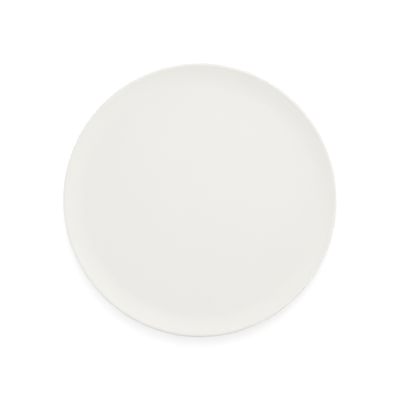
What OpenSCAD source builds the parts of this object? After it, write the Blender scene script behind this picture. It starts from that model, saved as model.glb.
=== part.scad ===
// Coupe dinner plate in matt white stoneware. A turned body of fired clay carries three coats
// of glaze: one on its face, one on its back and one in the well inside its foot ring.
// Millimetres, +Z up. The origin is on the table, under the middle of the plate.
// Sections are drawn as [radius, height] and turned about the Z axis.

/* [Plate] */
// Diameter over the glazed lip
plate_d = 270; // [230:1:310]
// Height of the glazed lip above the table
plate_h = 22; // [19:0.5:26]
// Thickness of the clay in the flat floor
floor_t = 4.6; // [3.6:0.1:6]
// Thickness of the clay at the lip
lip_t = 2.2; // [1.8:0.1:3.4]

/* [Coupe curve] */
// Run of the curve, from the edge of the flat floor out to the middle of the lip
curve_run = 44; // [38:1:50]
// Slope at which the broad sweep passes into the tighter turn, in degrees
sweep_slope = 5.5; // [4.5:0.5:6.5]
// Slope of the wall where it reaches the lip, in degrees
lip_slope = 60; // [54:1:64]

/* [Foot ring] */
// Height of the underside above the table, which the foot ring makes up
foot_h = 3; // [2.4:0.1:4]
// Width of the bare flat ground that stands on the table
ground_w = 3; // [2:0.1:5]
// Distance from the edge of the flat floor in to the outer edge of the ground
foot_inset = 8; // [6:0.5:14]
// Radius of the hollow curve where the foot springs from the underside
hollow_r = 2.6; // [2.2:0.1:4]
// Radius of the round on each side of the ground
round_r = 2; // [1.6:0.1:3]

/* [Glaze] */
// Thickness of the fired glaze
glaze_t = 0.35; // [0.2:0.05:0.6]

/* [Smoothness] */
// Farthest that a chord lies from the arc that it stands for
chord_error = 0.08; // [0.03:0.01:0.15]
// Flats in one turn
turn_flats = 64; // [48:8:128]

/* [Hidden] */

// Colours of the fired clay and of the glaze
clay_colour = [0.82, 0.77, 0.69];
glaze_colour = [0.93, 0.93, 0.91];

// The lip is a half round on the end of the wall
lip_r = lip_t / 2;
lip_centre = [plate_d / 2 - glaze_t - lip_r, plate_h - glaze_t - lip_r];

// Edge and height of the clay's flat floor
flat_r = lip_centre[0] - curve_run;
floor_z = foot_h + floor_t;

// Face and back each run level, then follow a sweep and a turn that meet at the sweep's slope
// and end on the half round at the lip's slope. Both radii follow from the run and the rise.
lip_reach = lip_r * [sin(lip_slope), -cos(lip_slope)];
face_span = lip_centre - lip_reach - [flat_r, floor_z];
back_span = lip_centre + lip_reach - [flat_r, foot_h];
slope_factor = sin(sweep_slope) * (1 - cos(lip_slope)) - sin(lip_slope) * (1 - cos(sweep_slope));

function sweep_radius(span) =
    ((cos(sweep_slope) - cos(lip_slope)) * span[0] - (sin(lip_slope) - sin(sweep_slope)) * span[1])
    / slope_factor;
function turn_radius(span) =
    (sin(sweep_slope) * span[1] - (1 - cos(sweep_slope)) * span[0]) / slope_factor;

// The side of the foot is an S: a hollow below the underside, then a round above the ground.
// They meet at this slope, where the glaze stops and the bare clay begins.
foot_slope = acos(1 - foot_h / (hollow_r + round_r));
foot_side_run = (hollow_r + round_r) * sin(foot_slope);
ground_outer_r = flat_r - foot_inset;
ground_inner_r = ground_outer_r - ground_w;
outer_hollow_centre = [ground_outer_r + foot_side_run, foot_h - hollow_r];
inner_hollow_centre = [ground_inner_r - foot_side_run, foot_h - hollow_r];

// Directions from the centre of an arc, in degrees
up = 90;
down = -90;

function reversed(points) = [for (i = [len(points) - 1:-1:0]) points[i]];
function after_first(points) = [for (i = [1:len(points) - 1]) points[i]];
function on_circle(centre, r, angle) = centre + r * [cos(angle), sin(angle)];
function arc_steps(r, sweep) = ceil(abs(sweep) / (2 * acos(1 - chord_error / r)));

// Points along an arc, without its first one. A coat's arcs take their steps from the clay
// below, so that the glaze is even.
function arc(centre, r, from, to, grow = 0) =
    let (steps = arc_steps(r, to - from))
    [for (i = [1:steps]) on_circle(centre, r + grow, from + (to - from) * i / steps)];

// The sweep and the turn, from the edge of the flat at height z up to the lip
function coupe_curve(z, span, grow) =
    let (
        sweep_r = sweep_radius(span),
        turn_r = turn_radius(span),
        sweep_centre = [flat_r, z + sweep_r],
        turn_centre = on_circle(sweep_centre, sweep_r - turn_r, down + sweep_slope)
    )
    concat(
        [[flat_r, z - grow]],
        arc(sweep_centre, sweep_r, down, down + sweep_slope, grow),
        arc(turn_centre, turn_r, down + sweep_slope, down + lip_slope, grow)
    );

// Face, from the middle over the crest of the lip to the seam at the rim's widest point
function face_line(coat) = concat(
    [[0, floor_z + coat]],
    coupe_curve(floor_z, face_span, -coat),
    arc(lip_centre, lip_r, up + lip_slope, up, coat),
    arc(lip_centre, lip_r, up, 0, coat)
);

// Back, from that seam under the lip to the stop of the glaze on the foot's outer side
function back_line(coat) = concat(
    [on_circle(lip_centre, lip_r + coat, 0)],
    arc(lip_centre, lip_r, 0, down + lip_slope, coat),
    after_first(reversed(coupe_curve(foot_h, back_span, coat))),
    [on_circle(outer_hollow_centre, hollow_r - coat, up)],
    arc(outer_hollow_centre, hollow_r, up, up + foot_slope, -coat)
);

// Well, from the middle of the underside to the stop of the glaze on the foot's inner side
function well_line(coat) = concat(
    [[0, foot_h - coat]],
    [on_circle(inner_hollow_centre, hollow_r - coat, up)],
    arc(inner_hollow_centre, hollow_r, up, up - foot_slope, -coat)
);

// Bare foot, from the outer stop of the glaze over the ground to the inner one
foot_line = concat(
    arc([ground_outer_r, round_r], round_r, down + foot_slope, down),
    [[ground_inner_r, 0]],
    arc([ground_inner_r, round_r], round_r, down, down - foot_slope)
);

// Rolled edge of a coat on the foot, half round from the clay to the glaze's surface.
// The side is 1 on the foot's outer side and -1 on its inner side.
function rolled_edge(hollow_centre, side) =
    let (
        stop = up + side * foot_slope,
        middle = on_circle(hollow_centre, hollow_r - glaze_t / 2, stop)
    )
    arc(middle, glaze_t / 2, stop, stop + side * (up - down));

module turned(section) {
    rotate_extrude($fn = turn_flats) polygon(section);
}

// Fired clay: the floor, the rising wall, the lip and the foot ring, turned in one piece
module clay_body() {
    color(clay_colour) turned(concat(
        face_line(0),
        after_first(back_line(0)),
        foot_line,
        after_first(reversed(well_line(0)))
    ));
}

// Coat on the eating face, which wraps over the lip to the seam
module face_glaze() {
    color(glaze_colour) turned(concat(face_line(0), reversed(face_line(glaze_t))));
}

// Coat on the back, from the seam under the lip to its rolled edge on the foot
module back_glaze() {
    color(glaze_colour) turned(concat(
        back_line(0),
        rolled_edge(outer_hollow_centre, 1),
        after_first(reversed(back_line(glaze_t)))
    ));
}

// Coat in the well inside the foot ring, parted from the back by the bare ground
module foot_well_glaze() {
    color(glaze_colour) turned(concat(
        well_line(0),
        rolled_edge(inner_hollow_centre, -1),
        after_first(reversed(well_line(glaze_t)))
    ));
}

clay_body();
face_glaze();
back_glaze();
foot_well_glaze();
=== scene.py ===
import math

import bpy
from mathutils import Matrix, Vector


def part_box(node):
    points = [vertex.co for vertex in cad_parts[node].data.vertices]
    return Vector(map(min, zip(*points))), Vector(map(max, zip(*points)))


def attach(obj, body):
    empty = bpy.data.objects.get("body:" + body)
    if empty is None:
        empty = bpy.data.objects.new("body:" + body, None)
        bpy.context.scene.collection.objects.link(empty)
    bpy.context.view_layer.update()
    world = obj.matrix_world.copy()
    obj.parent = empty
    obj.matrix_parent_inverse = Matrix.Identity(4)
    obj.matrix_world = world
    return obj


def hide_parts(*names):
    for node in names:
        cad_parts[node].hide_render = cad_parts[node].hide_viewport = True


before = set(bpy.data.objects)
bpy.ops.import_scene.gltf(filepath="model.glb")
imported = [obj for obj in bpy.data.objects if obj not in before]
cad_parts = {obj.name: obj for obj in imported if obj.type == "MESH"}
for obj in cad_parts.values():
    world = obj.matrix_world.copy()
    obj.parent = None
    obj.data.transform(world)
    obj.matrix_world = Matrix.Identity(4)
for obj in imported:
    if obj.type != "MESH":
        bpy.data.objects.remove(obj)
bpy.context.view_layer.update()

# Clay body
# Stoneware clay, pressed over a mould and turned true while leather hard. Floor, coupe wall, lip
# and foot ring are one piece. Glaze covers it all but the ground of the foot ring.
clay_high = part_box("clay_body")[1]
face_low, face_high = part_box("face_glaze")
well_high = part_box("foot_well_glaze")[1]

# Sizes that the boxes give, in metres
plate_r = face_high.x
plate_h = face_high.z
glaze_t = face_high.z - clay_high.z
floor_z = face_low.z
foot_h = well_high.z

# Lip and wall, in metres and degrees
lip_t = 0.0022
curve_run = 0.044
sweep_slope = 5.5
lip_slope = 60
lip_r = lip_t / 2
lip_centre = Vector((clay_high.x - lip_r, clay_high.z - lip_r))
flat_r = lip_centre.x - curve_run

# Foot ring, with a hollow and a round on each side of its ground
ground_w = 0.003
foot_inset = 0.008
hollow_r = 0.0026
round_r = 0.002
foot_slope = math.degrees(math.acos(1 - foot_h / (hollow_r + round_r)))
foot_side_run = (hollow_r + round_r) * math.sin(math.radians(foot_slope))
ground_outer_r = flat_r - foot_inset
ground_inner_r = ground_outer_r - ground_w
outer_hollow = Vector((ground_outer_r + foot_side_run, foot_h - hollow_r))
inner_hollow = Vector((ground_inner_r - foot_side_run, foot_h - hollow_r))
outer_round = Vector((ground_outer_r, round_r))
inner_round = Vector((ground_inner_r, round_r))

# Smoothness of the turned meshes
chord_error = 0.000004
least_arc_steps = 3
floor_steps = 12
well_steps = 8
ground_steps = 3
turn_steps = 256
merge_gap = 0.000001
sharp_angle = math.radians(40)


def direction(degrees):
    """Unit vector in the section, at an angle from the plate's radius."""
    return Vector((math.cos(math.radians(degrees)), math.sin(math.radians(degrees))))


def coupe_centres(start_z, end):
    """Centres of the broad sweep and the tighter turn, from the flat to a point on the lip."""
    run, rise = end.x - flat_r, end.y - start_z
    sweep, lip = math.radians(sweep_slope), math.radians(lip_slope)
    factor = math.sin(sweep) * (1 - math.cos(lip)) - math.sin(lip) * (1 - math.cos(sweep))
    run_part = (math.cos(sweep) - math.cos(lip)) * run
    rise_part = (math.sin(lip) - math.sin(sweep)) * rise
    sweep_r = (run_part - rise_part) / factor
    turn_r = (math.sin(sweep) * rise - (1 - math.cos(sweep)) * run) / factor
    sweep_centre = Vector((flat_r, start_z + sweep_r))
    return sweep_centre, sweep_centre + (sweep_r - turn_r) * direction(sweep_slope - 90)


def start_section(name, start):
    """A new piece with one point, on which its section is drawn: x is the radius, z the height."""
    bpy.ops.object.select_all(action="DESELECT")
    bpy.ops.mesh.primitive_plane_add(size=glaze_t)
    piece = bpy.context.object
    piece.name = piece.data.name = name
    bpy.ops.object.mode_set(mode="EDIT")
    bpy.ops.mesh.merge(type="CENTER")
    bpy.ops.transform.translate(value=(start.x, 0, start.y))
    return piece, start


def line_to(pen, end, steps=1):
    """Draws the section on in a straight line, and returns where it ends."""
    step = (end - pen) / steps
    for _ in range(steps):
        bpy.ops.mesh.extrude_region_move(TRANSFORM_OT_translate={"value": (step.x, 0, step.y)})
    return end


def arcs_along(pen, arcs):
    """Draws the section on along arcs, each a centre and the degrees turned about it."""
    for centre, degrees in arcs:
        arm = pen - centre
        chord = 2 * math.acos(1 - chord_error / arm.length)
        bpy.ops.mesh.spin(
            steps=max(least_arc_steps, math.ceil(abs(math.radians(degrees)) / chord)),
            angle=math.radians(degrees),
            center=(centre.x, 0, centre.y),
            axis=(0, 1, 0),
        )
        heading = math.degrees(math.atan2(arm.y, arm.x)) + degrees
        pen = centre + arm.length * direction(heading)
    return pen


def unwound(arcs):
    """The same arcs from their far end back."""
    return [(centre, -degrees) for centre, degrees in reversed(arcs)]


def turn_on_wheel():
    """Turns the drawn section about the plate's axis, closes its seam and poles and smooths it."""
    bpy.ops.mesh.select_all(action="SELECT")
    bpy.ops.mesh.spin(steps=turn_steps, angle=math.tau, center=(0, 0, 0), axis=(0, 0, 1))
    bpy.ops.mesh.select_all(action="SELECT")
    bpy.ops.mesh.remove_doubles(threshold=merge_gap)
    bpy.ops.mesh.normals_make_consistent(inside=False)
    bpy.ops.object.mode_set(mode="OBJECT")
    bpy.ops.object.shade_smooth_by_angle(angle=sharp_angle)


# Face and back each rise from the flat to the lip, and meet at the rim's widest point
lip_reach = lip_r * direction(lip_slope - 90)
face_sweep, face_turn = coupe_centres(floor_z, lip_centre - lip_reach)
back_sweep, back_turn = coupe_centres(foot_h, lip_centre + lip_reach)
face_arcs = [
    (face_sweep, sweep_slope),
    (face_turn, lip_slope - sweep_slope),
    (lip_centre, -lip_slope),
    (lip_centre, -90),
]
back_arcs = [
    (lip_centre, lip_slope - 90),
    (back_turn, sweep_slope - lip_slope),
    (back_sweep, -sweep_slope),
]

clay_body, pen = start_section("clay_body_turned", Vector((0, floor_z)))
pen = line_to(pen, Vector((flat_r, floor_z)), steps=floor_steps)
pen = arcs_along(pen, face_arcs + back_arcs)
pen = line_to(pen, Vector((outer_hollow.x, foot_h)))
pen = arcs_along(pen, [(outer_hollow, foot_slope), (outer_round, -foot_slope)])
pen = line_to(pen, Vector((ground_inner_r, 0)), steps=ground_steps)
pen = arcs_along(pen, [(inner_round, -foot_slope), (inner_hollow, foot_slope)])
pen = line_to(pen, Vector((0, foot_h)), steps=well_steps)
turn_on_wheel()


def add_node(tree, kind, sockets, **settings):
    """A new node with settings, its sockets set to values or linked to other nodes' outputs."""
    node = tree.nodes.new(kind)
    for name, value in settings.items():
        setattr(node, name, value)
    for name, value in sockets.items():
        if isinstance(value, bpy.types.NodeSocket):
            tree.links.new(value, node.inputs[name])
        else:
            node.inputs[name].default_value = value
    return node


def maths(tree, operation, *values, clamp=False):
    """The outcome of a sum on values and other nodes' outputs."""
    sockets = dict(enumerate(values))
    node = add_node(tree, "ShaderNodeMath", sockets, operation=operation, use_clamp=clamp)
    return node.outputs[0]


def blended(tree, factor, first, second):
    """A colour between two others. The mix node takes colours in sockets 6 and 7, and gives 2."""
    sockets = {0: factor, 6: first, 7: second}
    return add_node(tree, "ShaderNodeMix", sockets, data_type="RGBA").outputs[2]


def new_group(name, inputs, outputs):
    """An empty node group with named sockets, each of a kind."""
    tree = bpy.data.node_groups.new(name, "ShaderNodeTree")
    for socket, kind in inputs.items():
        tree.interface.new_socket(socket, in_out="INPUT", socket_type="NodeSocket" + kind)
    for socket, kind in outputs.items():
        tree.interface.new_socket(socket, in_out="OUTPUT", socket_type="NodeSocket" + kind)
    return tree, tree.nodes.new("NodeGroupInput").outputs, tree.nodes.new("NodeGroupOutput").inputs


def place_group(tree, group, **sockets):
    """A group placed among other nodes with values of its own."""
    named = {name.replace("_", " "): value for name, value in sockets.items()}
    return add_node(tree, "ShaderNodeGroup", named, node_tree=group).outputs


# Soft uneven tone in clouds of a given size. Noise keeps near its middle, a half, and is stretched
# to run from about -1 to 1.
noise_detail = 2
noise_stretch = 4
mottle, given, result = new_group(
    "mottle", {"Position": "Vector", "Size": "Float"}, {"Tone": "Float"}
)
cloud_scale = maths(mottle, "DIVIDE", 1, given["Size"])
clouds = add_node(
    mottle,
    "ShaderNodeTexNoise",
    {"Vector": given["Position"], "Scale": cloud_scale, "Detail": noise_detail},
)
tone = maths(mottle, "MULTIPLY_ADD", clouds.outputs["Fac"], noise_stretch, -noise_stretch / 2)
mottle.links.new(tone, result["Tone"])

# Uneven specks strewn at a spacing; size and amount are shares of the spacing and of the places.
# Fine noise makes their edges ragged, and each draws its own size and whether it is there.
ragged_waves = 5
ragged_detail = 1
ragged_reach = 0.5
smallest_speck = 0.4
solid_core = 0.5
specks, given, result = new_group(
    "specks",
    {"Position": "Vector", "Spacing": "Float", "Size": "Float", "Amount": "Float"},
    {"Mask": "Float"},
)
cell_scale = maths(specks, "DIVIDE", 1, given["Spacing"])
ragged_scale = maths(specks, "MULTIPLY", cell_scale, ragged_waves)
ragged = add_node(
    specks,
    "ShaderNodeTexNoise",
    {"Vector": given["Position"], "Scale": ragged_scale, "Detail": ragged_detail},
)
stray = maths(specks, "MULTIPLY", given["Spacing"], ragged_reach)
strayed = add_node(
    specks,
    "ShaderNodeVectorMath",
    {0: ragged.outputs["Color"], 1: stray, 2: given["Position"]},
    operation="MULTIPLY_ADD",
)
cells = add_node(
    specks, "ShaderNodeTexVoronoi", {"Vector": strayed.outputs[0], "Scale": cell_scale}
)
lot = add_node(specks, "ShaderNodeSeparateColor", {"Color": cells.outputs["Color"]})
grade = maths(specks, "MULTIPLY_ADD", lot.outputs["Green"], 1 - smallest_speck, smallest_speck)
speck_size = maths(specks, "MULTIPLY", given["Size"], grade)
core_size = maths(specks, "MULTIPLY", speck_size, solid_core)
dot = add_node(
    specks,
    "ShaderNodeMapRange",
    {"Value": cells.outputs["Distance"], "From Min": speck_size, "From Max": core_size},
    interpolation_type="SMOOTHSTEP",
)
drawn = maths(specks, "LESS_THAN", lot.outputs["Red"], given["Amount"])
specks.links.new(maths(specks, "MULTIPLY", dot.outputs["Result"], drawn), result["Mask"])

# Uneven rings about the plate's axis, left by the tool that turned the clay, from about -1 to 1.
# They drift a little out of round.
drift_size = 0.02
drift_share = 0.15
wheel_marks, given, result = new_group(
    "wheel_marks", {"Position": "Vector", "Spacing": "Float"}, {"Relief": "Float"}
)
level = add_node(
    wheel_marks, "ShaderNodeVectorMath", {0: given["Position"], 1: (1, 1, 0)}, operation="MULTIPLY"
)
radius = add_node(wheel_marks, "ShaderNodeVectorMath", {0: level.outputs[0]}, operation="LENGTH")
drift = place_group(wheel_marks, mottle, Position=given["Position"], Size=drift_size)["Tone"]
turns = maths(wheel_marks, "DIVIDE", radius.outputs["Value"], given["Spacing"])
rings = add_node(
    wheel_marks,
    "ShaderNodeTexNoise",
    {
        "W": maths(wheel_marks, "MULTIPLY_ADD", drift, drift_share, turns),
        "Scale": 1,
        "Detail": noise_detail,
    },
    noise_dimensions="1D",
)
relief = maths(wheel_marks, "MULTIPLY_ADD", rings.outputs["Fac"], noise_stretch, -noise_stretch / 2)
wheel_marks.links.new(relief, result["Relief"])


def new_material(name):
    """A new material, with its nodes and its shader."""
    material = bpy.data.materials.new(name)
    material.use_nodes = True
    return material, material.node_tree, material.node_tree.nodes["Principled BSDF"]


def place_on_piece(tree):
    """The position on the piece, in metres."""
    return add_node(tree, "ShaderNodeTexCoord", {}).outputs["Object"]


def emboss(tree, shader, height):
    """Gives a shader the relief of a height in metres."""
    bump = add_node(tree, "ShaderNodeBump", {"Strength": 1, "Distance": 1, "Height": height})
    tree.links.new(bump.outputs["Normal"], shader.inputs["Normal"])


# Bare clay: buff with grains of pale grog and specks of iron, and rings from the turning tool. It
# is toasted darker along the glaze's edge. Sizes and relief are in metres.
clay_pale = (0.66, 0.58, 0.465, 1)
clay_dark = (0.56, 0.475, 0.365, 1)
grog_colour = (0.74, 0.68, 0.57, 1)
iron_colour = (0.2, 0.12, 0.07, 1)
toasted_colour = (0.46, 0.31, 0.18, 1)
clay_middle, clay_swing = 0.4, 0.25
grog_cover, iron_cover, toasted_cover = 0.6, 0.8, 0.5
clay_roughness, grain_roughness = 0.86, 0.05
grain_relief, ring_relief, grog_relief = 0.000012, 0.00001, 0.000025
toasted_to_z = round_r * (1 - math.cos(math.radians(foot_slope)))
toasted_from_z = toasted_to_z / 3

clay_material, tree, shader = new_material("bare_stoneware")
place = place_on_piece(tree)
cloud = place_group(tree, mottle, Position=place, Size=0.014)["Tone"]
grain = place_group(tree, mottle, Position=place, Size=0.0007)["Tone"]
grog = place_group(tree, specks, Position=place, Spacing=0.0013, Size=0.42, Amount=0.35)["Mask"]
iron = place_group(tree, specks, Position=place, Spacing=0.0021, Size=0.2, Amount=0.3)["Mask"]
rings = place_group(tree, wheel_marks, Position=place, Spacing=0.0008)["Relief"]
height_above_table = add_node(tree, "ShaderNodeSeparateXYZ", {"Vector": place}).outputs["Z"]
toasted = add_node(
    tree,
    "ShaderNodeMapRange",
    {"Value": height_above_table, "From Min": toasted_from_z, "From Max": toasted_to_z},
    interpolation_type="SMOOTHSTEP",
).outputs["Result"]

uneven = maths(tree, "MULTIPLY_ADD", grain, clay_swing, clay_middle)
uneven = maths(tree, "MULTIPLY_ADD", cloud, clay_swing, uneven, clamp=True)
colour = blended(tree, uneven, clay_pale, clay_dark)
colour = blended(tree, maths(tree, "MULTIPLY", grog, grog_cover), colour, grog_colour)
colour = blended(tree, maths(tree, "MULTIPLY", iron, iron_cover), colour, iron_colour)
colour = blended(tree, maths(tree, "MULTIPLY", toasted, toasted_cover), colour, toasted_colour)
tree.links.new(colour, shader.inputs["Base Color"])
roughness = maths(tree, "MULTIPLY_ADD", grain, grain_roughness, clay_roughness)
tree.links.new(roughness, shader.inputs["Roughness"])
height = maths(tree, "MULTIPLY", grain, grain_relief)
height = maths(tree, "MULTIPLY_ADD", rings, ring_relief, height)
height = maths(tree, "MULTIPLY_ADD", grog, grog_relief, height)
emboss(tree, shader, height)

clay_body.data.materials.append(clay_material)
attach(clay_body, "root")
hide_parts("clay_body")

# Face glaze
# Matt white glaze, sprayed on the eating face and fused to the clay in the kiln. It wraps over the
# crest of the lip and ends in a seam at the rim's widest point.
face_glaze, pen = start_section("face_glaze_coat", Vector((0, floor_z)))
pen = line_to(pen, Vector((flat_r, floor_z)), steps=floor_steps)
pen = arcs_along(pen, face_arcs)
pen = line_to(pen, pen + Vector((glaze_t, 0)))
pen = arcs_along(pen, unwound(face_arcs))
pen = line_to(pen, Vector((0, floor_z + glaze_t)), steps=floor_steps)
turn_on_wheel()

# Matt glaze: clouds where the spray lay thicker or thinner, a soft peel, fine crystals that make it
# matt, pinholes and a ghost of the rings in the clay. It is drier on the crest of the lip, where
# the coat draws thin. Sizes and relief are in metres.
thick_colour = (0.85, 0.841, 0.808, 1)
thin_colour = (0.84, 0.831, 0.796, 1)
pinhole_colour = (0.7, 0.66, 0.58, 1)
thin_middle, thin_swing = 0.5, 0.2
pinhole_cover = 0.5
glaze_roughness, peel_roughness, cloud_roughness = 0.55, 0.03, 0.02
crest_roughness, pinhole_roughness = 0.06, 0.2
crystal_relief, ghost_relief, pinhole_relief = 0.0000008, 0.0000015, -0.00003

matt_glaze, given, result = new_group(
    "matt_glaze",
    {"Position": "Vector", "Peel Size": "Float", "Peel Height": "Float", "Pinhole Amount": "Float"},
    {"Colour": "Color", "Roughness": "Float", "Height": "Float"},
)
place = given["Position"]
cloud = place_group(matt_glaze, mottle, Position=place, Size=0.03)["Tone"]
peel = place_group(matt_glaze, mottle, Position=place, Size=given["Peel Size"])["Tone"]
crystals = place_group(matt_glaze, mottle, Position=place, Size=0.0003)["Tone"]
ghost_rings = place_group(matt_glaze, wheel_marks, Position=place, Spacing=0.0022)["Relief"]
pinholes = place_group(
    matt_glaze, specks, Position=place, Spacing=0.004, Size=0.05, Amount=given["Pinhole Amount"]
)["Mask"]
height_above_table = add_node(matt_glaze, "ShaderNodeSeparateXYZ", {"Vector": place}).outputs["Z"]
crest = add_node(
    matt_glaze,
    "ShaderNodeMapRange",
    {"Value": height_above_table, "From Min": plate_h - lip_r, "From Max": plate_h},
    interpolation_type="SMOOTHSTEP",
).outputs["Result"]

thin = maths(matt_glaze, "MULTIPLY_ADD", peel, thin_swing, thin_middle)
thin = maths(matt_glaze, "MULTIPLY_ADD", cloud, thin_swing, thin, clamp=True)
colour = blended(matt_glaze, thin, thick_colour, thin_colour)
pinhole_share = maths(matt_glaze, "MULTIPLY", pinholes, pinhole_cover)
colour = blended(matt_glaze, pinhole_share, colour, pinhole_colour)
matt_glaze.links.new(colour, result["Colour"])
roughness = maths(matt_glaze, "MULTIPLY_ADD", peel, peel_roughness, glaze_roughness)
roughness = maths(matt_glaze, "MULTIPLY_ADD", cloud, cloud_roughness, roughness)
roughness = maths(matt_glaze, "MULTIPLY_ADD", crest, crest_roughness, roughness)
roughness = maths(matt_glaze, "MULTIPLY_ADD", pinholes, pinhole_roughness, roughness)
matt_glaze.links.new(roughness, result["Roughness"])
height = maths(matt_glaze, "MULTIPLY", peel, given["Peel Height"])
height = maths(matt_glaze, "MULTIPLY_ADD", crystals, crystal_relief, height)
height = maths(matt_glaze, "MULTIPLY_ADD", ghost_rings, ghost_relief, height)
height = maths(matt_glaze, "MULTIPLY_ADD", pinholes, pinhole_relief, height)
matt_glaze.links.new(height, result["Height"])


def glaze_material(name, **values):
    """The matt glaze with one coat's own peel and pinholes."""
    material, tree, shader = new_material(name)
    coat = place_group(tree, matt_glaze, Position=place_on_piece(tree), **values)
    tree.links.new(coat["Colour"], shader.inputs["Base Color"])
    tree.links.new(coat["Roughness"], shader.inputs["Roughness"])
    emboss(tree, shader, coat["Height"])
    return material


face_material = glaze_material(
    "face_matt_glaze", Peel_Size=0.0016, Peel_Height=0.000005, Pinhole_Amount=0.4
)
face_glaze.data.materials.append(face_material)
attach(face_glaze, "root")
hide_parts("face_glaze")

# Back glaze
# The same glaze, sprayed on the back in a pass of its own, a little coarser. It runs from the seam
# under the lip to the foot ring, where it is wiped off the ground and ends in a rolled edge.
seam = lip_centre + Vector((lip_r, 0))
outer_stop = outer_hollow + (hollow_r - glaze_t / 2) * direction(90 + foot_slope)
outer_edge_arcs = [(outer_hollow, foot_slope), (outer_stop, 180), (outer_hollow, -foot_slope)]
back_glaze, pen = start_section("back_glaze_coat", seam)
pen = arcs_along(pen, back_arcs)
pen = line_to(pen, Vector((outer_hollow.x, foot_h)))
pen = arcs_along(pen, outer_edge_arcs)
pen = line_to(pen, Vector((flat_r, foot_h - glaze_t)))
pen = arcs_along(pen, unwound(back_arcs))
pen = line_to(pen, seam)
turn_on_wheel()

back_material = glaze_material(
    "back_matt_glaze", Peel_Size=0.0019, Peel_Height=0.000007, Pinhole_Amount=0.5
)
back_glaze.data.materials.append(back_material)
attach(back_glaze, "root")
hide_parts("back_glaze")

# Foot well glaze
# The round patch of glaze inside the foot ring, left there when the ground is wiped bare. It lies
# thicker than the rest, with a coarser peel and more pinholes.
inner_stop = inner_hollow + (hollow_r - glaze_t / 2) * direction(90 - foot_slope)
inner_edge_arcs = [(inner_hollow, -foot_slope), (inner_stop, -180), (inner_hollow, foot_slope)]
well_glaze, pen = start_section("foot_well_glaze_coat", Vector((0, foot_h)))
pen = line_to(pen, Vector((inner_hollow.x, foot_h)), steps=well_steps)
pen = arcs_along(pen, inner_edge_arcs)
pen = line_to(pen, Vector((0, foot_h - glaze_t)), steps=well_steps)
turn_on_wheel()

well_material = glaze_material(
    "well_matt_glaze", Peel_Size=0.0023, Peel_Height=0.00001, Pinhole_Amount=0.8
)
well_glaze.data.materials.append(well_material)
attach(well_glaze, "root")
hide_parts("foot_well_glaze")

# Table
# A plain table, white to the camera by a glow of its own. Three lamps that light nothing else cast
# the plate's shadow on it: a thin dark line against the rim, a close one and a wide soft one.
table_size = 12
bpy.ops.object.select_all(action="DESELECT")
bpy.ops.mesh.primitive_plane_add(size=table_size)
table = bpy.context.object
table.name = "table"


def grey(level):
    """A colour with no tint, from black at 0 to white at 1."""
    return (level, level, level, 1)


def seen_rays(tree):
    """1 for the rays that show a backdrop to the camera, directly or in a reflection."""
    rays = add_node(tree, "ShaderNodeLightPath", {}).outputs
    seen = maths(tree, "MAXIMUM", rays["Is Camera Ray"], rays["Is Glossy Ray"])
    return maths(tree, "MAXIMUM", seen, rays["Is Transmission Ray"])


# The table's grey as the camera sees it, its darker grey as it lights the plate, and its glow
table_grey = 0.3
bounce_grey = 0.25
table_glow = 0.22
table_material, tree, shader = new_material("white_table")
seen = seen_rays(tree)
colour = blended(tree, seen, grey(bounce_grey), grey(table_grey))
tree.links.new(colour, shader.inputs["Base Color"])
shader.inputs["Roughness"].default_value = 1
shader.inputs["Specular IOR Level"].default_value = 0
shader.inputs["Emission Color"].default_value = grey(1)
tree.links.new(maths(tree, "MULTIPLY", seen, table_glow), shader.inputs["Emission Strength"])
table.data.materials.append(table_material)

table_only = bpy.data.collections.new("table_only")
table_only.objects.link(table)

# Each lamp's name, its lean and its spread in degrees, and its share of the table's white
shadow_lamps = (
    ("contact_shadow", 7.8, 3, 0.2),
    ("near_shadow", 5.5, 14, 0.24),
    ("soft_shadow", 32, 36, 0.18),
)
for name, lean, spread, share in shadow_lamps:
    sun = bpy.data.lights.new(name, "SUN")
    sun.energy = share * math.pi / table_grey
    sun.angle = math.radians(spread)
    lamp = bpy.data.objects.new(name, sun)
    lamp.rotation_euler = (math.radians(-lean), 0, 0)
    lamp.light_linking.receiver_collection = table_only
    bpy.context.scene.collection.objects.link(lamp)

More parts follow.
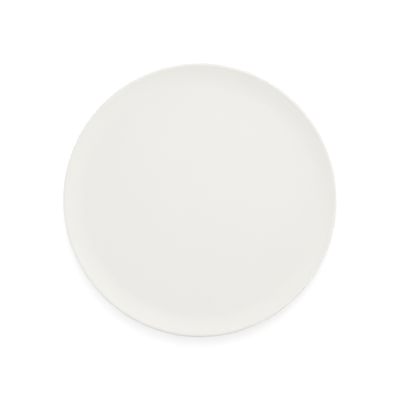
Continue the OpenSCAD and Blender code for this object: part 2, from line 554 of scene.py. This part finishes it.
# Light
# An even white tent, brighter round its sides than overhead, and a softbox at the upper right that
# gives the level floor a small share of its light.
tent_side = 1.243
tent_top = 0.743
tent_seen = 1.05
world = bpy.data.worlds.new("tent")
bpy.context.scene.world = world
world.use_nodes = True
tree = world.node_tree
sky = add_node(tree, "ShaderNodeTexCoord", {}).outputs["Generated"]
rise = add_node(tree, "ShaderNodeSeparateXYZ", {"Vector": sky}).outputs["Z"]
tent = add_node(
    tree, "ShaderNodeMapRange", {"Value": rise, "To Min": tent_side, "To Max": tent_top}
).outputs["Result"]
strength = add_node(tree, "ShaderNodeMix", {0: seen_rays(tree), 2: tent, 3: tent_seen}).outputs[0]
background = tree.nodes["Background"]
background.inputs["Color"].default_value = grey(1)
tree.links.new(strength, background.inputs["Strength"])

softbox_share = 0.108
softbox_size = 0.55
softbox_distance = 0.7
softbox_lean = math.radians(45)
softbox_bearing = math.radians(57)
softbox_data = bpy.data.lights.new("softbox", "AREA")
softbox_data.shape = "DISK"
softbox_data.size = softbox_size
softbox_data.energy = softbox_share * (math.pi * softbox_distance) ** 2 / math.cos(softbox_lean)
softbox = bpy.data.objects.new("softbox", softbox_data)
softbox.location = softbox_distance * Vector((
    math.sin(softbox_lean) * math.cos(softbox_bearing),
    math.sin(softbox_lean) * math.sin(softbox_bearing),
    math.cos(softbox_lean),
))
softbox.rotation_euler = softbox.location.to_track_quat("Z", "Y").to_euler()
bpy.context.scene.collection.objects.link(softbox)

# Camera
# It hangs over the plate, leaning a little towards the plate's upper edge, with a lens set by the
# width of the rim in the picture.
frame_px = 400
rim_px = 273.1
sensor_mm = 36
camera_distance = 1.6
camera_lean = math.radians(1.5)

# The middle of the picture is a hair off the plate's axis, at the height of the lip
aim = Vector((0.00005, 0.0001, lip_centre.y))
camera_data = bpy.data.cameras.new("camera")
camera_data.sensor_width = sensor_mm
camera_data.lens = sensor_mm * camera_distance * rim_px / (2 * plate_r * frame_px)
camera = bpy.data.objects.new("camera", camera_data)
camera.location = aim + camera_distance * Vector((0, math.sin(camera_lean), math.cos(camera_lean)))
camera.rotation_euler = (-camera_lean, 0, 0)
bpy.context.scene.collection.objects.link(camera)
bpy.context.scene.camera = camera

bpy.context.scene.view_settings.view_transform = "Standard"
